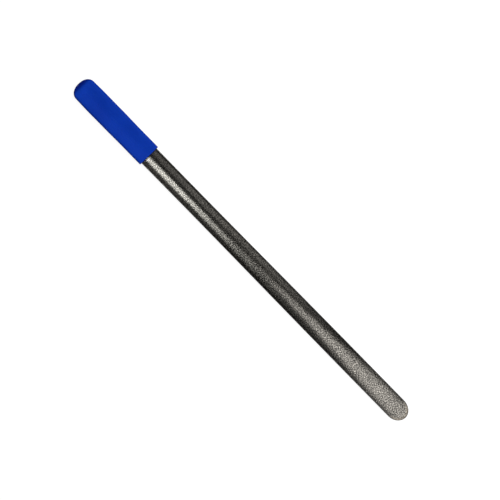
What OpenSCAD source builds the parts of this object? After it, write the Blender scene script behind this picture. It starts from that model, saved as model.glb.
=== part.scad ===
// Long-handled shoehorn: a slip-on vinyl grip over a one-piece rolled steel
// blade with a hammertone finish.
//
// It lies hollow side up. +X runs from the grip to the tip, +Y is across the
// blade and z = 0 is the table. The origin is under the middle of the length.
// The back of the grip and the back of the tip both touch the table.

/* [Overall] */
// Length from the closed end of the grip to the tip of the blade
overall_len = 610; // [450:5:800]

/* [Blade] */
// Thickness of the coated steel strip
sheet_t = 1.5; // [1.2:0.1:2]
// Width of the strip at the grip, before it is rolled
blank_w = 30.4; // [28:0.1:32]
// Width of the strip where the tip starts to round off
tip_w = 29.3; // [27:0.1:32]
// Radius of the channel at the grip, to the middle of the sheet
channel_r = 18.5; // [17:0.5:22]
// Radius of the channel at the tip, to the middle of the sheet
tip_r = 85; // [50:5:150]
// Where the channel starts to open out, as a share of the bare blade
flatten_from = 0.15; // [0.05:0.05:0.5]
// Length of the rounded tip
tip_len = 18; // [12:0.5:22]
// Length over which the blade bends back down to the table
sweep_len = 170; // [100:10:250]

/* [Grip] */
// Length of the grip
grip_len = 132; // [110:1:140]
// Thickness of the vinyl around the blade
grip_wall = 2.6; // [2:0.1:3.5]
// Depth of the shallow hollow along the front of the grip
grip_sag = 1.1; // [0:0.1:1.5]
// How far each side of the grip swells past its mouth
grip_swell = 0.3; // [0:0.1:0.6]
// Length of the closed end, over which the width rounds off
end_len = 12.5; // [10:0.5:14]
// Length over which the thickness rounds off at the closed end
end_roll = 9; // [6:0.5:10]
// Rounding of the cut edge at the mouth
lip_r = 0.5; // [0.2:0.1:0.8]

/* [Fit] */
// Clearance between the blade and the inside of the grip
fit_gap = 0.03; // [0.02:0.01:0.1]
// Thickness of the vinyl between the pocket and the closed end
grip_base = 5; // [5:0.5:8]
// Length over which the pocket rounds off at its closed end
pocket_end = 5; // [4:0.5:6]

/* [Smoothness] */
// Points along each long side of a section
side_n = 20; // [16:2:32]
// Points around each edge of a section
edge_n = 9; // [6:1:10]
// Sections along the part of the blade that changes shape
run_n = 36; // [20:4:44]
// Sections in each rounded end
end_n = 11; // [8:1:14]

/* [Hidden] */

GRIP_BLUE = [0.055, 0.21, 0.61];
HAMMERTONE = [0.36, 0.35, 0.33];

ROLL_POWER = 1.6;                       // how full the closed end of the grip is

edge_r = sheet_t / 2;

x_heel = -overall_len / 2;              // closed end of the grip
x_mouth = x_heel + grip_len;            // open end of the grip
x_pocket = x_heel + grip_base;          // closed end of the pocket in the grip
x_insert = x_pocket + pocket_end;       // end of the blade inside the pocket
x_tip = overall_len / 2;
x_round = x_tip - tip_len;              // start of the rounded tip
x_open = mix(x_mouth, x_tip, flatten_from);
z_mid = grip_wall + edge_r;             // middle of the sheet, on the centre line

// The rolled strip at the grip, up to the centre of its rounded edge
channel_half = blank_w / 2 - edge_r;
tip_half = tip_w / 2 - edge_r;
rim_angle = deg(channel_half / channel_r);
rim_y = channel_r * sin(rim_angle);
rim_z = channel_r * (1 - cos(rim_angle));

// From the middle of the sheet to the wall of the pocket. It allows for the
// flats between the points of a section, so that none of them cuts the blade.
pocket_r = (channel_r + edge_r) / cos(rim_angle / side_n) - channel_r + fit_gap;

// ---- Curves ---------------------------------------------------------------

function deg(radians) = radians * 180 / PI;
function mix(a, b, t) = a + (b - a) * t;
function clamp01(t) = max(0, min(1, t));
function smooth(t) = let (c = clamp01(t)) c * c * (3 - 2 * c);
function reverse(v) = [for (i = [len(v) - 1 : -1 : 0]) v[i]];

// A rounded rise from 0 to 1 as d goes from 0 to length. It is a quarter
// ellipse for a power of 2, and closer to a straight slope for a smaller one.
function round_off(d, length, power = 2) =
    pow(1 - pow(1 - clamp01(d / length), power), 1 / power);

// Places from just after the end at x0 up to x1, crowded together at x0 to
// follow its curve
function end_places(x0, x1) =
    [for (i = [1 : end_n]) mix(x1, x0, cos(90 * i / end_n))];

// n places after x0, up to and including x1
function run_places(x0, x1, n) = [for (i = [1 : n]) mix(x0, x1, i / n)];

// ---- Blade ----------------------------------------------------------------

// Curvature of the channel
function curvature(x) =
    mix(1 / channel_r, 1 / tip_r, smooth((x - x_open) / (x_round - x_open)));

// Half the flat width, up to the centre of the edge
function half_width(x) =
    mix(channel_half, tip_half, clamp01((x - x_mouth) / (x_round - x_mouth)))
    * min(round_off(x_tip - x, tip_len), round_off(x - x_insert, end_len));

// Half the thickness, which thins to a round nose at both ends
function half_sheet(x) =
    edge_r * min(round_off(x_tip - x, edge_r), round_off(x - x_insert, edge_r));

// Height of the middle of the sheet on the centre line
function spine(x) =
    z_mid - grip_wall * pow(clamp01(1 - (x_tip - x) / sweep_len), 2);

// The point s across the strip from its centre line, moved out of the middle
// of the sheet by r: 0 degrees is out of the hollow side, 90 is over the edge
function on_strip(x, s, r, angle) =
    let (k = curvature(x), turn = deg(k * s), lean = angle - turn)
    [x, sin(turn) / k + r * sin(lean), spine(x) + (1 - cos(turn)) / k + r * cos(lean)];

// Hollow side, right edge, back, left edge
function blade_section(x) =
    let (half = half_width(x), r = half_sheet(x))
    concat(
        [for (i = [0 : side_n - 1]) on_strip(x, half * (2 * i / side_n - 1), r, 0)],
        [for (i = [0 : edge_n - 1]) on_strip(x, half, r, 180 * i / edge_n)],
        [for (i = [0 : side_n - 1]) on_strip(x, half * (1 - 2 * i / side_n), r, 180)],
        [for (i = [0 : edge_n - 1]) on_strip(x, -half, r, 180 + 180 * i / edge_n)]
    );

module blade() {
    places = concat(
        end_places(x_insert, x_insert + end_len),
        [x_mouth, x_open],
        run_places(x_open, x_round, run_n),
        reverse([for (x = end_places(x_tip, x_round)) if (x > x_round) x])
    );
    color(HAMMERTONE)
        skin([x_insert, 0, spine(x_insert)],
             [for (x = places) blade_section(x)],
             [x_tip, 0, spine(x_tip)]);
}

// ---- Grip -----------------------------------------------------------------

// A loop at distance r from the middle of the sheet, as [y, z]. Its back and
// edges follow the blade, and its front spans the hollow from rim to rim.
function grip_loop(r, sag) =
    let (arc = 180 - rim_angle)
    concat(
        [for (i = [0 : side_n - 1])
            let (t = 2 * i / side_n - 1)
            [rim_y * t, rim_z + r - sag * (1 + cos(180 * t)) / 2]],
        [for (i = [0 : edge_n - 1])
            let (a = 90 - arc * i / edge_n)
            [rim_y + r * cos(a), rim_z + r * sin(a)]],
        [for (i = [0 : side_n - 1])
            let (a = rim_angle * (1 - 2 * i / side_n))
            [(channel_r + r) * sin(a), channel_r - (channel_r + r) * cos(a)]],
        [for (i = [0 : edge_n - 1])
            let (a = rim_angle - 90 + arc * i / edge_n)
            [-rim_y - r * cos(a), rim_z + r * sin(a)]]
    );

// That loop at x, drawn in to the shares wide and tall of its full size
function grip_section(x, r, sag, wide, tall) =
    [for (p = grip_loop(r, sag)) [x, p[0] * wide, z_mid + p[1] * tall]];

// 0 at the mouth, 1 about two thirds of the way in, and -1 at the closed end
function belly(x) = sin(270 * pow((x_mouth - x) / grip_len, 3));

// Outside of the grip at x, where r is less than full size only on the lip.
// Its front is flat at the closed end and sags from there on.
function outer_section(x, r) =
    let (
        d = x - x_heel,
        swell = 1 + grip_swell * belly(x) / (rim_y + r),
        sag = grip_sag * smooth(d / end_roll - 1)
    )
    grip_section(x, r, sag, swell * round_off(d, end_len), round_off(d, end_roll, ROLL_POWER));

// Inside of the grip at x
function pocket_section(x) =
    let (share = round_off(x - x_pocket, pocket_end))
    grip_section(x, pocket_r, grip_sag, share, share);

module grip() {
    outer_r = edge_r + grip_wall;
    outside = concat(
        end_places(x_heel, x_heel + end_len),
        run_places(x_heel + end_len, x_mouth - lip_r, end_n)
    );
    inside = concat([x_mouth], reverse(end_places(x_pocket, x_pocket + pocket_end)));
    color(GRIP_BLUE)
        skin([x_heel, 0, z_mid],
             concat(
                 [for (x = outside) outer_section(x, outer_r)],
                 [for (a = [30, 60, 90])
                     outer_section(x_mouth - lip_r * (1 - sin(a)), outer_r - lip_r * (1 - cos(a)))],
                 [for (x = inside) pocket_section(x)]
             ),
             [x_pocket, 0, z_mid]);
}

// ---- Shared ---------------------------------------------------------------

// A closed solid from the point start, through loops that all have the same
// number of points, to the point end
module skin(start, loops, end) {
    n = len(loops[0]);
    last = n * (len(loops) - 1);
    points = concat([for (loop = loops, p = loop) p], [start, end]);
    first_fan = [for (i = [0 : n - 1]) [(i + 1) % n, i, last + n]];
    sides = [for (j = [0 : n : last - n], i = [0 : n - 1])
        let (a = j + i, b = j + (i + 1) % n)
        each [[a, b, b + n], [a, b + n, a + n]]];
    last_fan = [for (i = [0 : n - 1]) [last + i, last + (i + 1) % n, last + n + 1]];
    polyhedron(points, concat(first_fan, sides, last_fan), convexity = 6);
}

blade();
grip();
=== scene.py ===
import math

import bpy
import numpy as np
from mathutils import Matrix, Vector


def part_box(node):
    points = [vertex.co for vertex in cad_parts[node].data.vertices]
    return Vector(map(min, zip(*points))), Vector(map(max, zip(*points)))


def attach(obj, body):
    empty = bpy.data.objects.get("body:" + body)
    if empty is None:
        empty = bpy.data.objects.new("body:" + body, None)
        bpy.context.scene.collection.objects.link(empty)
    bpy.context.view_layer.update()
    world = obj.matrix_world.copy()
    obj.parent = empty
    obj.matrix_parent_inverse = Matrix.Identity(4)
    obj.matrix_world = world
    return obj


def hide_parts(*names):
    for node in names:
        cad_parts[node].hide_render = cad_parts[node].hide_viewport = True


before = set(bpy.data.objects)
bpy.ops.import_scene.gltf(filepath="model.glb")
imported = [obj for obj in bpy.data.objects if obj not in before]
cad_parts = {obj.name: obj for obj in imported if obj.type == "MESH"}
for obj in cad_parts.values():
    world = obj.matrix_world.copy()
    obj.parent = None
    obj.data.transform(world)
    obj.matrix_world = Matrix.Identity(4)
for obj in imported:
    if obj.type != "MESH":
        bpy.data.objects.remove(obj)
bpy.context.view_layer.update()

# Looks of a long-handled shoehorn: a rolled steel blade with a hammertone finish and a
# slip-on blue vinyl grip. Both CAD nodes are replaced by finer meshes of the same shape.
# Lengths are in metres. +X runs from the grip to the tip, +Y is across the blade,
# and z = 0 is the table.

MM = 0.001

# ---- Sizes -----------------------------------------------------------------------------

grip_low, grip_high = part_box("grip")
blade_low, blade_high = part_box("blade")

X_HEEL = grip_low.x            # closed end of the grip
X_MOUTH = grip_high.x          # open end of the grip
X_INSERT = blade_low.x         # end of the blade inside the grip
X_TIP = blade_high.x
LENGTH = X_TIP - X_HEEL

SHEET = 1.5 * MM               # thickness of the coated strip
EDGE_R = SHEET / 2
WALL = 2.6 * MM                # thickness of the vinyl
Z_MID = WALL + EDGE_R          # middle of the sheet, on the centre line
CHANNEL_R = 18.5 * MM          # radius of the channel at the grip
TIP_R = 85 * MM                # radius of the channel at the tip
CHANNEL_HALF = 14.45 * MM      # half the flat strip at the grip, to the centre of its edge
TIP_HALF = 13.9 * MM           # the same where the tip starts to round off
TIP_LEN = 18 * MM
SWEEP_LEN = 170 * MM           # over which the blade bends back down to the table
X_ROUND = X_TIP - TIP_LEN
X_OPEN = X_MOUTH + 0.15 * (X_TIP - X_MOUTH)    # where the channel starts to open out

END_LEN = 12.5 * MM            # over which the grip's width rounds off
END_ROLL = 9 * MM              # over which its thickness rounds off
ROLL_POWER = 1.6               # how full that end is
GRIP_SAG = 1.1 * MM            # hollow along the front of the grip
GRIP_SWELL = 0.3 * MM
LIP_R = 0.5 * MM
FIT_GAP = 0.045 * MM
GRIP_BASE = 5 * MM             # vinyl between the pocket and the closed end
POCKET_END = 5 * MM            # over which the pocket rounds off
X_POCKET = X_HEEL + GRIP_BASE

RIM_ANGLE = CHANNEL_HALF / CHANNEL_R
RIM_Y = CHANNEL_R * math.sin(RIM_ANGLE)
RIM_Z = CHANNEL_R * (1 - math.cos(RIM_ANGLE))

# ---- Curves ----------------------------------------------------------------------------


def mix(a, b, t):
    return a + (b - a) * t


def smooth(t):
    t = np.clip(t, 0, 1)
    return t * t * (3 - 2 * t)


def round_off(d, length, power=2):
    """A rounded rise from 0 to 1 as d goes from 0 to length. It is a quarter ellipse for a
    power of 2, and closer to a straight slope for a smaller one."""
    return (1 - (1 - np.clip(d / length, 0, 1)) ** power) ** (1 / power)


def end_places(x0, x1, n):
    """n + 1 places from the end at x0 to x1, crowded together at x0."""
    return mix(x1, x0, np.cos(np.linspace(0, np.pi / 2, n + 1)))


def evenly(x0, x1, step):
    return np.linspace(x0, x1, max(2, round(abs(x1 - x0) / step) + 1))


class Ripple:
    """Smooth seeded noise over a plane, mostly from -1 to 1: a sum of waves, each 0.7 to 1.6
    times the given length."""

    def __init__(self, seed, wavelength, waves=9):
        rng = np.random.default_rng(seed)
        heading = rng.uniform(0, 2 * np.pi, waves)
        pace = 2 * np.pi / (wavelength * rng.uniform(0.7, 1.6, waves))
        self.u_rate = pace * np.cos(heading)
        self.v_rate = pace * np.sin(heading)
        self.phase = rng.uniform(0, 2 * np.pi, waves)

    def __call__(self, u, v):
        turns = np.multiply.outer(u, self.u_rate) + np.multiply.outer(v, self.v_rate)
        return np.sin(turns + self.phase).sum(-1) / math.sqrt(2 * len(self.phase))


# ---- Meshes ----------------------------------------------------------------------------


def grid_faces(index, flip=False):
    """Quads over a grid of vertex numbers. They face up when its rows run along x and its
    columns along y."""
    a, b, c, d = index[:-1, :-1], index[1:, :-1], index[1:, 1:], index[:-1, 1:]
    order = (d, c, b, a) if flip else (a, b, c, d)
    return np.stack([corner.ravel() for corner in order], 1).tolist()


def ring_faces(upper, lower):
    """Quads between two closed rings of vertex numbers that run the same way."""
    return np.stack([upper, lower, np.roll(lower, -1), np.roll(upper, -1)], 1).tolist()


def fan_faces(pole, ring):
    """Triangles from the vertex pole to each side of a closed ring of vertex numbers."""
    return [[pole, int(a), int(b)] for a, b in zip(ring, np.roll(ring, -1))]


def new_piece(name, points, faces, material, stands_for):
    mesh = bpy.data.meshes.new(name)
    mesh.from_pydata(points.tolist(), [], faces)
    mesh.shade_smooth()
    mesh.validate()
    mesh.materials.append(material)
    piece = bpy.data.objects.new(name, mesh)
    bpy.context.scene.collection.objects.link(piece)
    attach(piece, "root")
    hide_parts(stands_for)
    return piece


def add_attribute(piece, name, values):
    attribute = piece.data.attributes.new(name, "FLOAT", "POINT")
    attribute.data.foreach_set("value", np.asarray(values, np.float32))


# ---- Blade -----------------------------------------------------------------------------

GRID_STEP = 0.58 * MM          # mesh of the bare blade
HIDDEN_STEP = 4 * MM           # mesh of the blade inside the grip
HIDDEN_FROM = 6 * MM           # the coarse mesh stops this far inside the mouth
HIDDEN_ROWS = 12               # rows in the rounded end inside the grip
COLUMNS = round(2 * CHANNEL_HALF / GRID_STEP) + 1    # points across the strip
RIM_STEPS = 5                  # quads around the edge of the strip
BARE_FROM = 3 * MM             # relief is full at the mouth and gone this far inside it

TIP_EASE = 0.35 * MM           # how far the edge of the tip is turned down
EASE_LEN = 3.5 * MM            # width of the band that is turned down

CELL = 1.8 * MM                # typical cell of the hammertone finish
CELL_RELIEF = 0.035 * MM       # height of a cell above the grooves around it
CELL_SPREAD = 0.2              # how much that height differs between cells, as a share
CELL_STRAY = 0.38              # how far the middle of a cell strays from a grid, in cells
CELL_SHOULDER = 0.6            # how far the side of a cell reaches in from its groove, in cells
CELL_WARP = 0.35               # how far cells are pulled out of shape, in cells
WARP_WAVE = 3.5                # length of the waves that pull them, in cells
WAVE_RELIEF = 0.004 * MM       # slow unevenness under the cells
RELIEF_WAVE = 9 * MM           # length of its waves
FRONT_SEED = 11
BACK_SEED = 47


def curvature(x):
    return mix(1 / CHANNEL_R, 1 / TIP_R, smooth((x - X_OPEN) / (X_ROUND - X_OPEN)))


def straight_half(x):
    """Half the flat strip, leaving out its rounded ends."""
    taper = np.clip((x - X_MOUTH) / (X_ROUND - X_MOUTH), 0, 1)
    return mix(CHANNEL_HALF, TIP_HALF, taper)


def edge_distance(x, s):
    """How far a point of the strip is from its edge, along the bare blade and round the tip."""
    half = straight_half(x)
    along = np.clip((x - X_ROUND) / TIP_LEN, 0, 1)
    return half * (1 - np.sqrt(np.minimum(along ** 2 + (s / half) ** 2, 1)))


def strip_point(x, s):
    """Middle of the sheet at x, at the distance s across the flat strip."""
    k = curvature(x)
    sweep = np.clip(1 - (X_TIP - x) / SWEEP_LEN, 0, 1) ** 2
    spine = Z_MID - (WALL - TIP_EASE) * sweep
    near_tip = smooth((x - X_ROUND) / (TIP_LEN / 4))
    ease = TIP_EASE * near_tip * np.clip(1 - edge_distance(x, s) / EASE_LEN, 0, 1) ** 2
    return np.stack([x, np.sin(k * s) / k, spine + (1 - np.cos(k * s)) / k - ease], -1)


def unit(v):
    return v / np.linalg.norm(v, axis=-1, keepdims=True)


def strip_normal(x, s):
    """Square to the sheet, out of its hollow side."""
    nudge = 0.02 * MM
    along = strip_point(x + nudge, s) - strip_point(x - nudge, s)
    across = strip_point(x, s + nudge) - strip_point(x, s - nudge)
    return unit(np.cross(along, across))


def cell_pattern(u, v, seed):
    """Seeded cells about 1 across. At each point: the distances to the nearest and the second
    nearest middle of a cell, and the nearest cell's tone, from 0 to 1."""
    rng = np.random.default_rng(seed)
    first_u = math.floor(u.min()) - 2
    first_v = math.floor(v.min()) - 2
    size = (math.ceil(u.max()) - first_u + 3, math.ceil(v.max()) - first_v + 3)
    stray = rng.uniform(0.5 - CELL_STRAY, 0.5 + CELL_STRAY, size + (2,))
    tones = rng.uniform(0, 1, size)
    column = np.floor(u).astype(int) - first_u
    row = np.floor(v).astype(int) - first_v
    nearest = np.full(u.shape, np.inf)
    second = np.full(u.shape, np.inf)
    tone = np.zeros(u.shape)
    for i in (-1, 0, 1):
        for j in (-1, 0, 1):
            du = column + i + stray[column + i, row + j, 0] + first_u - u
            dv = row + j + stray[column + i, row + j, 1] + first_v - v
            away = np.hypot(du, dv)
            closer = away < nearest
            second = np.where(closer, nearest, np.minimum(second, away))
            tone = np.where(closer, tones[column + i, row + j], tone)
            nearest = np.where(closer, away, nearest)
    return nearest, second, tone


def hammertone(x, s, seed):
    """The finish at a point of the flat strip: relief in metres, dome (0 in a groove, 1 on top
    of a cell) and tone (a shade for each cell, 0 to 1)."""
    u = x / CELL + CELL_WARP * Ripple(seed + 1, WARP_WAVE)(x / CELL, s / CELL)
    v = s / CELL + CELL_WARP * Ripple(seed + 2, WARP_WAVE)(x / CELL, s / CELL)
    nearest, second, tone = cell_pattern(u, v, seed)
    dome = smooth((second - nearest) / CELL_SHOULDER)
    height = 1 + CELL_SPREAD * (tone - 0.5)
    wave = Ripple(seed + 3, RELIEF_WAVE)(x, s)
    relief = CELL_RELIEF * (dome * height - 0.5) + WAVE_RELIEF * wave
    bare = smooth(1 - (X_MOUTH - x) / BARE_FROM)
    return np.stack([relief * bare, dome, tone])


def rounded_rows(x_line, half, reach, n):
    """Rows that turn the straight line across the strip at x_line into a rounded end. A disc is
    laid over a square, so that no row shrinks to a point. The last row is the end itself."""
    u = np.linspace(0, 1, n + 1)[1:, None]
    v = np.linspace(-1, 1, COLUMNS)[None, :]
    x = x_line + reach * u * np.sqrt(1 - v ** 2 / 2)
    s = half * v * np.sqrt(1 - u ** 2 / 2)
    return x, np.broadcast_to(s, x.shape)


def blade_grid():
    """x and s over the whole strip, rows along x and columns across."""
    x_inner = X_INSERT + EDGE_R + END_LEN
    straight = np.concatenate([
        evenly(x_inner, X_MOUTH - HIDDEN_FROM, HIDDEN_STEP)[:-1],
        evenly(X_MOUTH - HIDDEN_FROM, X_ROUND, GRID_STEP),
    ])
    x = np.repeat(straight[:, None], COLUMNS, 1)
    s = straight_half(x) * np.linspace(-1, 1, COLUMNS)
    inner_x, inner_s = rounded_rows(x_inner, CHANNEL_HALF, -END_LEN, HIDDEN_ROWS)
    tip_x, tip_s = rounded_rows(X_ROUND, TIP_HALF, TIP_LEN - EDGE_R, round(TIP_LEN / GRID_STEP))
    return np.vstack([inner_x[::-1], x, tip_x]), np.vstack([inner_s[::-1], s, tip_s])


def outline(index):
    """The grid's border, anticlockwise from above."""
    return np.concatenate([index[:-1, 0], index[-1, :-1], index[:0:-1, -1], index[0, :0:-1]])


def rim_rings(middle, up, front, back):
    """Rings of points around the strip's edge between its front and its back, with the finish
    of each. They are worked out along the border of the middle of the sheet."""
    ahead = np.roll(middle, -1, 0) - np.roll(middle, 1, 0)
    outward = unit(np.cross(ahead, up))
    rings = []
    finishes = []
    for step in range(1, RIM_STEPS):
        share = step / RIM_STEPS
        angle = math.pi * share
        heading = math.cos(angle) * up + math.sin(angle) * outward
        finish = mix(front, back, share)
        rings.append(middle + heading * (EDGE_R + finish[0])[:, None])
        finishes.append(finish)
    return rings, finishes


def blade_faces(index):
    """The front, the rings around the edge and the back, in the order of their points."""
    border = outline(index)
    rim = index.size + np.arange((RIM_STEPS - 1) * border.size).reshape(-1, border.size)
    back = index + index.size + rim.size
    rings = [border, *rim, outline(back)]
    faces = grid_faces(index)
    for upper, lower in zip(rings[:-1], rings[1:]):
        faces += ring_faces(upper, lower)
    return faces + grid_faces(back, flip=True)


def build_blade(material):
    x, s = blade_grid()
    index = np.arange(x.size).reshape(x.shape)
    border = outline(index)
    middle = strip_point(x, s).reshape(-1, 3)
    up = strip_normal(x, s).reshape(-1, 3)
    front = hammertone(x, s, FRONT_SEED).reshape(3, -1)
    back = hammertone(x, s, BACK_SEED).reshape(3, -1)
    rings, finishes = rim_rings(middle[border], up[border], front[:, border], back[:, border])

    front_points = middle + up * (EDGE_R + front[0])[:, None]
    back_points = middle - up * (EDGE_R + back[0])[:, None]
    points = np.vstack([front_points, *rings, back_points])
    piece = new_piece("blade_hammertone", points, blade_faces(index), material,
                      "blade")
    _, dome, tone = np.hstack([front, *finishes, back])
    inside = edge_distance(x, s).ravel()
    on_rim = np.zeros(len(rings) * border.size)
    add_attribute(piece, "dome", dome)
    add_attribute(piece, "tone", tone)
    add_attribute(piece, "edge_distance", np.concatenate([inside, on_rim, inside]) / MM)


# ---- Grip ------------------------------------------------------------------------------

FRONT_N = 44                   # points along the front of a ring
BACK_N = 40                    # along its back
SIDE_N = 24                    # and around each side
DOME_N = 30                    # rings in the closed end
LIP_N = 6                      # rings around the lip
POCKET_N = 10                  # rings in the closed end of the pocket
GRIP_STEP = 1.6 * MM           # between the rings of the body
POCKET_STEP = 4 * GRIP_STEP    # between the rings of the pocket
DIP_UNEVENNESS = 0.07 * MM     # slow waves in the thickness of the dipped vinyl
DIP_WAVE = 38 * MM             # their length
DIP_SEED = 5


def grip_loop(r, sag):
    """A closed loop at the distance r from the middle of the sheet, as y and z from the blade's
    centre line. Its back and edges follow the blade, and its front spans the hollow."""
    across = np.linspace(-1, 1, FRONT_N, endpoint=False)
    front = np.stack([RIM_Y * across,
                      RIM_Z + r - sag * (1 + np.cos(np.pi * across)) / 2], 1)
    turn = np.linspace(np.pi / 2, RIM_ANGLE - np.pi / 2, SIDE_N, endpoint=False)
    right = np.stack([RIM_Y + r * np.cos(turn), RIM_Z + r * np.sin(turn)], 1)
    bend = np.linspace(RIM_ANGLE, -RIM_ANGLE, BACK_N, endpoint=False)
    back = np.stack([(CHANNEL_R + r) * np.sin(bend),
                     CHANNEL_R - (CHANNEL_R + r) * np.cos(bend)], 1)
    turn = np.linspace(RIM_ANGLE - np.pi / 2, np.pi / 2, SIDE_N, endpoint=False)
    left = np.stack([-RIM_Y - r * np.cos(turn), RIM_Z + r * np.sin(turn)], 1)
    return np.vstack([front, right, back, left])


def grip_ring(x, r, sag, wide, tall):
    """That loop at x, drawn in to the shares wide and tall of its full size."""
    loop = grip_loop(r, sag)
    y = loop[:, 0] * wide
    z = Z_MID + loop[:, 1] * tall
    return np.stack([np.full(len(loop), x), y, z], 1)


def outer_ring(x, r):
    """Outside of the grip at x. Each side swells once on its way to the closed end."""
    belly = math.sin(1.5 * math.pi * ((X_MOUTH - x) / (X_MOUTH - X_HEEL)) ** 3)
    stretch = 1 + GRIP_SWELL * belly / (RIM_Y + r)
    sag = GRIP_SAG * smooth((x - X_HEEL) / END_ROLL - 1)
    return grip_ring(x, r, sag, stretch * round_off(x - X_HEEL, END_LEN),
                     round_off(x - X_HEEL, END_ROLL, ROLL_POWER))


def lip_ring(angle):
    """Outside of the grip on its rounded lip, which ends at a quarter turn."""
    inset = LIP_R * (1 - math.cos(angle))
    return outer_ring(X_MOUTH - LIP_R * (1 - math.sin(angle)), EDGE_R + WALL - inset)


def pocket_ring(x):
    share = round_off(x - X_POCKET, POCKET_END)
    return grip_ring(x, EDGE_R + FIT_GAP, GRIP_SAG, share, share)


def outside_rings():
    """From the closed end to the mouth, with the slow unevenness of dipped vinyl. It fades out
    at both ends."""
    dome = end_places(X_HEEL, X_HEEL + END_LEN, DOME_N)[1:]
    body = evenly(X_HEEL + END_LEN, X_MOUTH - LIP_R, GRIP_STEP)[1:]
    rings = [outer_ring(x, EDGE_R + WALL) for x in np.concatenate([dome, body])]
    rings += [lip_ring(angle) for angle in np.linspace(0, np.pi / 2, LIP_N + 1)[1:]]
    rings = np.array(rings)

    x = rings[..., 0]
    around = np.linspace(0, 2 * np.pi, rings.shape[1], endpoint=False)
    dip = Ripple(DIP_SEED, DIP_WAVE)(x, RIM_Y * np.sin(around)[None, :])
    fade = smooth((x - X_HEEL) / (2 * END_LEN)) * smooth((X_MOUTH - x) / END_LEN)
    outward = (rings - rings.mean(1, keepdims=True)) * [0, 1, 1]
    return rings + outward / RIM_Y * (DIP_UNEVENNESS * dip * fade)[..., None]


def inside_rings(lip_end):
    """From the last ring of the lip across the mouth and down the pocket."""
    mouth = pocket_ring(X_MOUTH)
    body = evenly(X_MOUTH, X_POCKET + POCKET_END, POCKET_STEP)[1:]
    closed = end_places(X_POCKET, X_POCKET + POCKET_END, POCKET_N)[-2:0:-1]
    rings = [mix(lip_end, mouth, 0.5), mouth]
    rings += [pocket_ring(x) for x in np.concatenate([body, closed])]
    return np.array(rings)


def build_grip(material):
    outside = outside_rings()
    rings = np.concatenate([outside, inside_rings(outside[-1])])
    poles = [[X_HEEL, 0, Z_MID], [X_POCKET, 0, Z_MID]]
    points = np.vstack([rings.reshape(-1, 3), poles])
    outer_pole, inner_pole = len(points) - 2, len(points) - 1

    index = np.arange(len(points) - 2).reshape(len(rings), -1)
    faces = []
    for a, b in zip(index[:-1], index[1:]):
        faces += ring_faces(a, b)
    faces += fan_faces(outer_pole, index[0])
    faces += fan_faces(inner_pole, index[-1][::-1])
    new_piece("grip_vinyl", points, faces, material, "grip")


# ---- Materials -------------------------------------------------------------------------


class Nodes:
    """The node tree of a material or a world, with a short way to add and join nodes."""

    def __init__(self, owner, output="ShaderNodeOutputMaterial"):
        self.owner = owner
        self.owner.use_nodes = True
        self.tree = self.owner.node_tree
        self.tree.nodes.clear()
        self.output = self.add(output)

    def add(self, kind, inputs=(), **settings):
        node = self.tree.nodes.new(kind)
        for key, value in settings.items():
            setattr(node, key, value)
        for key, value in dict(inputs).items():
            self.put(node.inputs[key], value)
        return node

    def put(self, socket, value):
        if isinstance(value, bpy.types.NodeSocket):
            self.tree.links.new(value, socket)
        else:
            socket.default_value = value

    def attribute(self, name):
        return self.add("ShaderNodeAttribute", attribute_name=name).outputs["Fac"]

    def place(self):
        return self.add("ShaderNodeTexCoord").outputs["Object"]

    def axes(self, vector):
        """The X, Y and Z of a vector."""
        return self.add("ShaderNodeSeparateXYZ", {"Vector": vector}).outputs

    def noise(self, size, detail=2.0, roughness=0.5, stretch=(1, 1, 1), shift=(0, 0, 0)):
        """Noise whose features are about size metres across."""
        moved = self.add("ShaderNodeMapping", {
            "Vector": self.place(), "Scale": stretch, "Location": shift})
        return self.add("ShaderNodeTexNoise", {
            "Vector": moved.outputs[0], "Scale": 1 / size, "Detail": detail,
            "Roughness": roughness}).outputs["Fac"]

    def speckle(self, size, reach):
        """Noise without its slow waves: each point less the mean of four around it, at the
        distance reach. It is 0 on average."""
        shifts = ((reach, 0, 0), (-reach, 0, 0), (0, reach, 0), (0, -reach, 0))
        around = 0.0
        for shift in shifts:
            around = self.math("ADD", around, self.noise(size, detail=0, shift=shift))
        mean = self.math("DIVIDE", around, len(shifts))
        return self.math("SUBTRACT", self.noise(size, detail=0), mean)

    def cells(self, size):
        """Cells about size metres across: a random shade for each, from 0 to 1, and the
        distance from its middle."""
        cells = self.add("ShaderNodeTexVoronoi", {"Vector": self.place(), "Scale": 1 / size})
        shade = self.add("ShaderNodeSeparateColor", {"Color": cells.outputs["Color"]}).outputs[0]
        return shade, cells.outputs["Distance"]

    def math(self, operation, a, b):
        return self.add("ShaderNodeMath", {0: a, 1: b}, operation=operation).outputs[0]

    def remap(self, value, low, high, to_low, to_high):
        return self.add("ShaderNodeMapRange", {
            "Value": value, "From Min": low, "From Max": high,
            "To Min": to_low, "To Max": to_high}).outputs[0]

    def spread(self, noise, low, high):
        """Noise, which is mostly from 0.3 to 0.7, drawn out to run from low to high."""
        return self.remap(noise, 0.3, 0.7, low, high)

    def blend(self, share, a, b, mode="MIX"):
        """A mix of two colours. Sockets 6, 7 and 2 are the node's colour sockets."""
        node = self.add("ShaderNodeMix", data_type="RGBA", blend_type=mode)
        self.put(node.inputs[0], share)
        self.put(node.inputs[6], a)
        self.put(node.inputs[7], b)
        return node.outputs[2]

    def scaled(self, color, share):
        """A colour times a number."""
        factor = self.add("ShaderNodeCombineColor", {0: share, 1: share, 2: share}).outputs[0]
        return self.blend(1.0, color, factor, "MULTIPLY")

    def bump(self, height, strength, distance, normal=None):
        node = self.add("ShaderNodeBump", {
            "Height": height, "Strength": strength, "Distance": distance})
        if normal is not None:
            self.put(node.inputs["Normal"], normal)
        return node.outputs[0]

    def finish(self, shader):
        self.put(self.output.inputs["Surface"], shader)
        return self.owner


def gray(value):
    return (value, value, value, 1)


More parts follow.
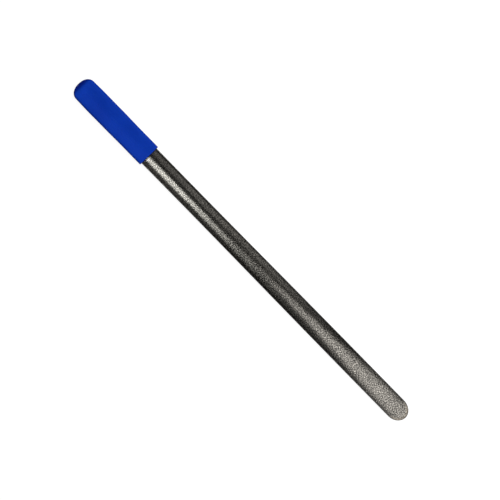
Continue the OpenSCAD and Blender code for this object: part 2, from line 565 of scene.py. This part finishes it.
# Sizes of the enamel's features, and how far each of them moves its shade up and down
CELL_TONE = 0.1                # from cell to cell
FLAKE = 0.35 * MM              # flakes of metal
FLAKE_TONE = 0.12
MOTTLE = 1.0 * MM              # patches of flakes that lie the same way
MOTTLE_TONE = 0.3
PATCH = 30 * MM                # slow changes
PATCH_TONE = 0.03
SPECK = 1.6 * MM               # fine specks
SPECK_REACH = 1.3 * MM
SPECK_TONE = 3.3               # times their noise, which is weak
SPECK_TONE_AT_GRIP = 1.7       # the same at the grip, where the finish looks smoother
SPECK_FULL = 0.4               # share of the bare blade at which the first is reached
DARKEST = 0.1                  # shade of the darkest speck

GROOVE = (0.07, 0.066, 0.060, 1)
GROOVE_ROUGHNESS = 0.31
CELL_TOP = (0.37, 0.347, 0.312, 1)
CELL_TOP_ROUGHNESS = 0.22
FLAKE_ROUGHNESS = 0.04         # how far the flakes move it up and down
MOTTLE_BUMP = 0.025 * MM
FLAKE_BUMP = 0.05 * MM

EDGE_PAINTED_SHADE = 0.42              # painted shade along the strip's edge, as a share of the enamel's colour
EDGE_SHADE_BAND = (0.6, 3.0)         # over which it fades, in millimetres from the edge
TIP_HIGHLIGHT = (0.50, 0.43, 0.34, 1)   # painted highlight, warm and pale, on the tip's rounded edge
TIP_HIGHLIGHT_SHARE = 0.40
TIP_HIGHLIGHT_BAND = (0.4, 3.5)         # over which it fades, in millimetres from the edge


def hammertone_shade(n, along, flake, mottle):
    """How pale the enamel is at a point, apart from its grooves and edges."""
    tone = n.attribute("tone")
    speckle = n.speckle(SPECK, SPECK_REACH)
    patch = n.noise(PATCH, detail=1)
    full_from = mix(X_MOUTH, X_TIP, SPECK_FULL)
    contrast = n.remap(along, X_MOUTH, full_from, SPECK_TONE_AT_GRIP, SPECK_TONE)
    shade = n.remap(tone, 0, 1, 1 - CELL_TONE, 1 + CELL_TONE)
    shade = n.math("ADD", shade, n.spread(flake, -FLAKE_TONE, FLAKE_TONE))
    shade = n.math("ADD", shade, n.remap(mottle, 0, 1, -MOTTLE_TONE, MOTTLE_TONE))
    shade = n.math("ADD", shade, n.math("MULTIPLY", speckle, contrast))
    shade = n.math("ADD", shade, n.spread(patch, -PATCH_TONE, PATCH_TONE))
    return n.math("MAXIMUM", shade, DARKEST)


def hammertone_material():
    """Metallic enamel: pale cells of flake in darker grooves, painted shade along the strip's
    edge, and a warm painted highlight round the tip's edge. The attribute edge_distance is in
    millimetres."""
    n = Nodes(bpy.data.materials.new("hammertone"))
    along = n.axes(n.place())["X"]
    dome = n.attribute("dome")
    edge = n.attribute("edge_distance")
    flake = n.noise(FLAKE, detail=3)
    mottle, from_middle = n.cells(MOTTLE)

    color = n.blend(n.remap(dome, 0.0, 0.8, 0.0, 1.0), GROOVE, CELL_TOP)
    color = n.scaled(color, hammertone_shade(n, along, flake, mottle))
    # Painted shade along the strip's edge
    color = n.scaled(color, n.remap(edge, *EDGE_SHADE_BAND, EDGE_PAINTED_SHADE, 1.0))
    # A painted highlight, warm and pale, round the tip's edge
    near_tip = n.remap(along, X_ROUND, X_TIP - TIP_LEN / 2, 0.0, 1.0)
    tip_highlight_mask = n.math("MULTIPLY", n.remap(edge, *TIP_HIGHLIGHT_BAND, 1.0, 0.0), near_tip)
    color = n.blend(n.math("MULTIPLY", tip_highlight_mask, TIP_HIGHLIGHT_SHARE), color, TIP_HIGHLIGHT)

    roughness = n.remap(dome, 0, 1, GROOVE_ROUGHNESS, CELL_TOP_ROUGHNESS)
    roughness = n.math("ADD", roughness, n.spread(flake, -FLAKE_ROUGHNESS, FLAKE_ROUGHNESS))
    normal = n.bump(n.math("SUBTRACT", 1.0, from_middle), strength=1.0, distance=MOTTLE_BUMP)
    normal = n.bump(flake, strength=0.35, distance=FLAKE_BUMP, normal=normal)
    shader = n.add("ShaderNodeBsdfPrincipled", {
        "Base Color": color, "Metallic": 1.0, "Roughness": roughness, "Normal": normal,
        "Coat Weight": 0.15, "Coat Roughness": 0.15})
    return n.finish(shader.outputs[0])


SLOW = 32 * MM                 # slow changes of colour and gloss
SLOW_ROUGHNESS = (0.46, 0.54)
PEEL = 1.8 * MM                # orange peel
PEEL_BUMP = 0.25 * MM
GRAIN = 0.4 * MM
GRAIN_BUMP = 0.06 * MM
SCUFF = 1.3 * MM               # handling marks, drawn out along the grip
SCUFF_STRETCH = (0.1, 1, 1)
SCUFF_BAND = (0.56, 0.76)      # where its noise turns into marks
SCUFF_SHARE = 0.4
SCUFF_ROUGHNESS = 0.12         # what they add to it
PIT = 0.7 * MM                 # small dark pits
PIT_BAND = (0.66, 0.74)        # where its noise turns into pits
PIT_SHARE = 0.35
END_SHADE_BAND = (-0.3, -0.6)        # X of the normal over which painted shade darkens the closed end

VINYL_DARK = (0.0035, 0.048, 0.53, 1)
VINYL_PALE = (0.0045, 0.058, 0.60, 1)
VINYL_SCUFFED = (0.02, 0.11, 0.62, 1)
VINYL_PIT = (0.002, 0.025, 0.30, 1)
VINYL_END_SHADE = (0.0018, 0.027, 0.48, 1)


def vinyl_material():
    """Plasticised vinyl: soft gloss, slight orange peel, faint handling marks. It is thickest at
    the closed end, where painted shade darkens its colour as the end turns away from the lights."""
    n = Nodes(bpy.data.materials.new("blue_vinyl"))
    slow = n.noise(SLOW, detail=1)
    scuff = n.noise(SCUFF, detail=3, roughness=0.6, stretch=SCUFF_STRETCH)
    pits = n.remap(n.noise(PIT), *PIT_BAND, 0.0, PIT_SHARE)
    marks = n.math("MULTIPLY", n.remap(scuff, *SCUFF_BAND, 0.0, 1.0),
                   n.remap(slow, 0.4, 0.6, 0.2, 1.0))
    facing = n.axes(n.add("ShaderNodeNewGeometry").outputs["Normal"])["X"]

    color = n.blend(n.spread(slow, 0.0, 1.0), VINYL_DARK, VINYL_PALE)
    color = n.blend(n.math("MULTIPLY", marks, SCUFF_SHARE), color, VINYL_SCUFFED)
    color = n.blend(pits, color, VINYL_PIT)
    # Painted shade where the closed end turns away from the lights
    color = n.blend(n.remap(facing, *END_SHADE_BAND, 0.0, 1.0), color, VINYL_END_SHADE)
    scuffed = n.math("MULTIPLY", marks, SCUFF_ROUGHNESS)
    roughness = n.math("ADD", n.spread(slow, *SLOW_ROUGHNESS), scuffed)
    normal = n.bump(n.noise(PEEL, detail=1), strength=1.0, distance=PEEL_BUMP)
    normal = n.bump(n.noise(GRAIN), strength=0.6, distance=GRAIN_BUMP, normal=normal)
    shader = n.add("ShaderNodeBsdfPrincipled", {
        "Base Color": color, "Roughness": roughness, "Specular IOR Level": 0.06,
        "Normal": normal, "Subsurface Weight": 0.04, "Subsurface Scale": 1 * MM,
        "Subsurface Radius": (0.2, 0.4, 1.0)})
    return n.finish(shader.outputs[0])


# ---- Stage, light and camera -----------------------------------------------------------

VIEW_TURN = math.radians(45.6155)      # the shoehorn lies across the picture at this angle
PICTURE_WIDTH = 1.0691 * LENGTH        # what the picture spans at the shoehorn
AIM_RIGHT = 10.3 * MM                  # the picture's centre, from the middle of the shoehorn
AIM_UP = 1.1 * MM
LENS = 100
SENSOR = 36

FLOOR_SIZE = 12
FLOOR_GLOW = 0.92              # its own light to the camera, which keeps it white
FLOOR_SEEN = 0.25              # its shade to the camera and to matt surfaces
FLOOR_REFLECTED = 0.12         # its shade in reflections
FLOOR_BELOW = 0.4              # its own light in reflections that look straight down on it
BELOW_FROM = 0.5               # sine of the angle at which that starts
BELOW_FULL = 0.9               # and at which it is full

ROOM_FILL = 0.10               # the light the room gives to matt surfaces
ROOM_SEEN = FLOOR_GLOW + FLOOR_SEEN * ROOM_FILL    # as pale to the camera as the far floor
ROOM_DARK = 0.006              # its shade in reflections
ROOM_HORIZON = 0.8             # its shade in reflections, low down past the ends of the object
HORIZON_TOP = 0.7              # sine of the angle at which that has faded


def floor_material():
    """White to the camera, darker in reflections, and glowing in the steepest of them."""
    n = Nodes(bpy.data.materials.new("floor_white"))
    ray = n.add("ShaderNodeLightPath").outputs
    steepness = n.axes(n.add("ShaderNodeNewGeometry").outputs["Incoming"])["Z"]
    shade = n.blend(ray["Is Glossy Ray"], gray(FLOOR_SEEN), gray(FLOOR_REFLECTED))
    matte = n.add("ShaderNodeBsdfDiffuse", {"Color": shade})
    below = n.remap(steepness, BELOW_FROM, BELOW_FULL, 0.0, FLOOR_BELOW)
    strength = n.math("ADD", n.math("MULTIPLY", ray["Is Camera Ray"], FLOOR_GLOW),
                      n.math("MULTIPLY", ray["Is Glossy Ray"], below))
    glow = n.add("ShaderNodeEmission", {"Color": gray(1), "Strength": strength})
    both = n.add("ShaderNodeAddShader", {0: matte.outputs[0], 1: glow.outputs[0]})
    return n.finish(both.outputs[0])


def build_floor():
    half = FLOOR_SIZE / 2
    corners = [(-half, -half, 0), (half, -half, 0), (half, half, 0), (-half, half, 0)]
    mesh = bpy.data.meshes.new("floor")
    mesh.from_pydata(corners, [], [(0, 1, 2, 3)])
    mesh.materials.append(floor_material())
    floor = bpy.data.objects.new("floor", mesh)
    bpy.context.scene.collection.objects.link(floor)


def build_world():
    """White to the camera. Reflections see a dark room that is pale near the horizon, but only
    past the ends of the shoehorn, so that its sides stay dark from above."""
    n = Nodes(bpy.data.worlds.new("studio"), "ShaderNodeOutputWorld")
    ray = n.add("ShaderNodeLightPath").outputs
    toward = n.axes(n.add("ShaderNodeTexCoord").outputs["Generated"])
    low = n.remap(toward["Z"], 0.0, HORIZON_TOP, 1.0, 0.0)
    past_ends = n.math("MULTIPLY", toward["X"], toward["X"])
    glow = n.math("MULTIPLY", low, past_ends)
    shade = n.remap(glow, 0.0, 1.0, ROOM_DARK, ROOM_HORIZON)
    shade = n.blend(ray["Is Diffuse Ray"], shade, gray(ROOM_FILL))
    shade = n.blend(ray["Is Camera Ray"], shade, gray(ROOM_SEEN))
    background = n.add("ShaderNodeBackground", {"Color": shade})
    bpy.context.scene.world = n.finish(background.outputs[0])


def softbox(name, x, lean, length, width, radiance, distance=1, aim_x=None, tint=(1, 1, 1)):
    """An area light at x, at the distance from the object's axis and lean degrees off vertical
    towards +Y. It faces the axis square on, or else at aim_x. Its length is along X, as far
    as it can be."""
    if aim_x is None:
        aim_x = x
    turn = math.radians(lean)
    place = Vector((x, distance * math.sin(turn), distance * math.cos(turn)))
    back = (place - Vector((aim_x, 0, 0))).normalized()
    side = (Vector((1, 0, 0)) - back * back.x).normalized()
    light = bpy.data.lights.new(name, "AREA")
    light.shape = "RECTANGLE"
    light.size = length
    light.size_y = width
    light.energy = radiance * math.pi * length * width
    light.color = tint
    lamp = bpy.data.objects.new(name, light)
    facing = Matrix((side, back.cross(side), back)).transposed().to_4x4()
    lamp.matrix_world = Matrix.Translation(place) @ facing
    lamp.visible_camera = False
    bpy.context.scene.collection.objects.link(lamp)
    return lamp


def build_lights():
    """The first two make the bright bands on the blade, the boards lift its dark sides, and
    the key lights the vinyl but isn't mirrored in the metal."""
    softbox("handle_light", x=X_HEEL + 0.035, lean=24,
            length=0.32, width=0.68, radiance=3.6, tint=(0.97, 1, 1))
    softbox("tip_light", x=X_TIP + 0.245, lean=0,
            length=0.86, width=0.46, radiance=1.6)
    softbox("fill_board", x=X_HEEL + 0.255, lean=-53,
            length=0.50, width=0.98, radiance=0.38)
    softbox("edge_board", x=X_HEEL + 0.085, lean=70,
            length=0.36, width=0.40, radiance=0.15)
    key = softbox("key_light", x=X_TIP + 0.345, lean=40, distance=0.8, aim_x=X_HEEL + 0.065,
                  length=0.5, width=0.5, radiance=6.5)
    key.visible_glossy = False


def build_camera():
    """Straight above the shoehorn, at the photograph's angle."""
    camera = bpy.data.cameras.new("camera")
    camera.lens = LENS
    camera.sensor_width = SENSOR
    rig = bpy.data.objects.new("camera", camera)
    right = Vector((math.cos(VIEW_TURN), math.sin(VIEW_TURN), 0))
    up = Vector((-math.sin(VIEW_TURN), math.cos(VIEW_TURN), 0))
    middle = Vector(((X_HEEL + X_TIP) / 2, 0, Z_MID))
    distance = PICTURE_WIDTH * LENS / SENSOR
    rig.location = middle + right * AIM_RIGHT + up * AIM_UP + Vector((0, 0, distance))
    rig.rotation_euler = (0, 0, VIEW_TURN)
    bpy.context.scene.collection.objects.link(rig)
    bpy.context.scene.camera = rig


build_blade(hammertone_material())
build_grip(vinyl_material())
build_floor()
build_world()
build_lights()
build_camera()
bpy.context.scene.view_settings.view_transform = "Standard"
